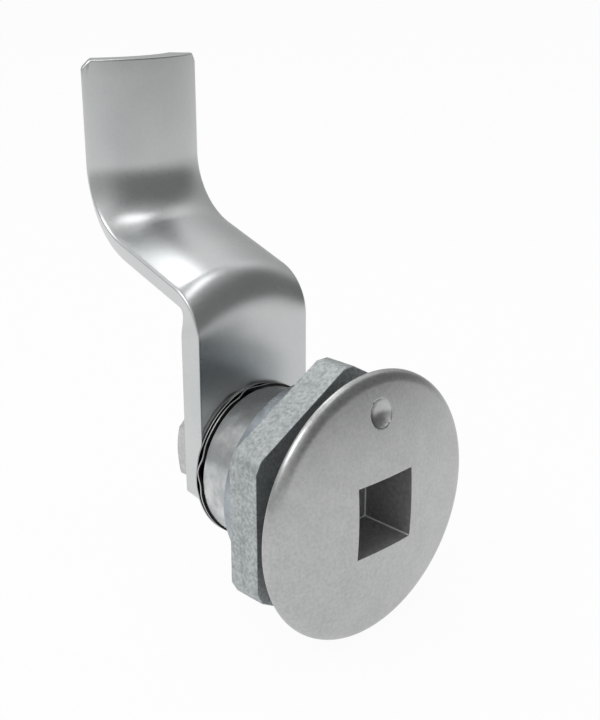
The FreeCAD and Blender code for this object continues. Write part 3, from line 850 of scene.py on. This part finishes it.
studio = {
    "floorZ": -0.0149, "floorSize": 12.0, "floorWhite": 0.95, "floorGlow": 0.85, "farGlow": 0.28,
    "glowReach": (0.03, 0.30),
    # height in the sky as a sine, then brightness, in front of the latch and behind it
    "frontSky": ((-1.0, 0.80), (-0.02, 0.46), (0.02, 0.20), (0.70, 0.20), (0.90, 0.42), (1.0, 0.5)),
    "rearSky": ((-1.0, 0.80), (-0.02, 0.60), (0.02, 0.44), (0.30, 0.48), (0.55, 0.64), (0.76, 1.0),
                (0.88, 0.62), (1.0, 0.5)),
    # directions between which the front sky gives way to the rear one, backwards and to the left
    "rearBlend": (-0.3, 0.15), "leftBlend": (0.0, -0.42),
    "cameraPlace": (-0.08155, -0.07498, 0.05463), "lens": 58.205,
    "back": (-0.6564, -0.6783, 0.3302), "right": (0.7186, -0.6954, 0.0),
    # name, place, target, size and watts, in metres
    "softboxes": (
        ("overheadStrip", (0.05, -0.05, 0.5), (0, 0.02, 0.02), (0.24, 0.10), 0.16),
        ("leftSoftbox", (-0.33, 0.03, 0.43), (0, 0, 0), (0.25, 0.25), 0.70),
        ("sideSoftbox", (0.075, 0.27, 0.588), (0, 0.022, 0.024), (0.20, 0.19), 0.34),
    ),
}


def makeFloorWhite():
    # near white to the camera and in reflections, with a share left that takes the shadow
    finish = Finish("studioFloor", Roughness=0.9)
    tree = finish.tree
    grain = finish.noise(0.02, 2.0)
    finish.set("Base Color", finish.blend(grain, grey(0.80), grey(0.84)))
    ray = finish.node("ShaderNodeLightPath", {}, [], "Is Camera Ray")
    mirrored = finish.tap(ray, "Is Glossy Ray") + finish.tap(ray, "Is Transmission Ray")
    parts = finish.node("ShaderNodeSeparateXYZ", {}, [finish.where])
    # reflections of the floor fade away to the front right
    away = (parts - finish.tap(parts, "Y")) / math.sqrt(2)
    faded = finish.spread(away, *studio["glowReach"], studio["floorGlow"], studio["farGlow"])
    share = ray * studio["floorWhite"] + mirrored * faded
    glow = tree.nodes.new("ShaderNodeEmission")
    glow.inputs["Strength"].default_value = 1.0
    mix = tree.nodes.new("ShaderNodeMixShader")
    tree.links.new(share.socket, mix.inputs[0])
    tree.links.new(finish.shader.outputs[0], mix.inputs[1])
    tree.links.new(glow.outputs[0], mix.inputs[2])
    tree.links.new(mix.outputs[0], tree.nodes["Material Output"].inputs["Surface"])
    return finish.material


def makeFloor():
    clearSelection()
    bpy.ops.mesh.primitive_plane_add(size=studio["floorSize"], location=(0, 0, studio["floorZ"]))
    floor = named("studioFloor")
    floor.data.materials.append(makeFloorWhite())


def makeWorld():
    world = bpy.data.worlds.new("studioAir")
    bpy.context.scene.world = world
    world.use_nodes = True
    tree = world.node_tree
    tree.nodes.clear()
    coordinates = tree.nodes.new("ShaderNodeTexCoord")
    split = tree.nodes.new("ShaderNodeSeparateXYZ")
    tree.links.new(coordinates.outputs["Generated"], split.inputs[0])
    height = tree.nodes.new("ShaderNodeMapRange")
    height.inputs["From Min"].default_value = -1
    tree.links.new(split.outputs["Z"], height.inputs["Value"])
    mix = tree.nodes.new("ShaderNodeMix")
    mix.data_type = "RGBA"
    for socket, stops in ((mix.inputs[6], studio["frontSky"]), (mix.inputs[7], studio["rearSky"])):
        ramp = tree.nodes.new("ShaderNodeValToRGB")
        tree.links.new(height.outputs[0], ramp.inputs[0])
        tree.links.new(ramp.outputs[0], socket)
        elements = ramp.color_ramp.elements
        elements.remove(elements[0])
        elements[0].position = 0.0
        elements[0].color = grey(stops[0][1])
        for level, tone in stops[1:]:
            elements.new((level + 1) / 2).color = grey(tone)
    sides = []
    for axis, limits in (("Y", studio["rearBlend"]), ("X", studio["leftBlend"])):
        side = tree.nodes.new("ShaderNodeMapRange")
        side.interpolation_type = "SMOOTHSTEP"
        side.inputs["From Min"].default_value, side.inputs["From Max"].default_value = limits
        tree.links.new(split.outputs[axis], side.inputs["Value"])
        sides.append(side.outputs[0])
    lighter = tree.nodes.new("ShaderNodeMath")
    lighter.operation = "MAXIMUM"
    tree.links.new(sides[0], lighter.inputs[0])
    tree.links.new(sides[1], lighter.inputs[1])
    tree.links.new(lighter.outputs[0], mix.inputs[0])
    # the camera sees a plain white backdrop beyond the floor
    ray = tree.nodes.new("ShaderNodeLightPath")
    backdrop = tree.nodes.new("ShaderNodeMix")
    backdrop.data_type = "RGBA"
    tree.links.new(ray.outputs["Is Camera Ray"], backdrop.inputs[0])
    tree.links.new(mix.outputs[2], backdrop.inputs[6])
    backdrop.inputs[7].default_value = grey(1.0)
    around = tree.nodes.new("ShaderNodeBackground")
    tree.links.new(backdrop.outputs[2], around.inputs[0])
    output = tree.nodes.new("ShaderNodeOutputWorld")
    tree.links.new(around.outputs[0], output.inputs[0])


def addSoftbox(name, spot, target, size, watts):
    clearSelection()
    bpy.ops.object.light_add(type="AREA", location=spot)
    lamp = bpy.context.object
    lamp.name = name
    lamp.data.shape = "RECTANGLE"
    lamp.data.size, lamp.data.size_y = size
    lamp.data.energy = watts
    lamp.rotation_euler = (Vector(target) - Vector(spot)).to_track_quat("-Z", "Y").to_euler()


def makeCamera():
    clearSelection()
    bpy.ops.object.camera_add()
    camera = bpy.context.object
    camera.name = "photoCamera"
    back, right = Vector(studio["back"]).normalized(), Vector(studio["right"]).normalized()
    up = back.cross(right)
    turn = Matrix((right, up, back)).transposed().to_4x4()
    camera.matrix_world = Matrix.Translation(studio["cameraPlace"]) @ turn
    camera.data.lens = studio["lens"]
    camera.data.sensor_width = 36
    camera.data.clip_start = 0.004
    camera.data.clip_end = 40
    bpy.context.scene.camera = camera


makeFloor()
makeWorld()
for softbox in studio["softboxes"]:
    addSoftbox(*softbox)
makeCamera()
bpy.context.scene.view_settings.view_transform = "Standard"
print("stage: studio")
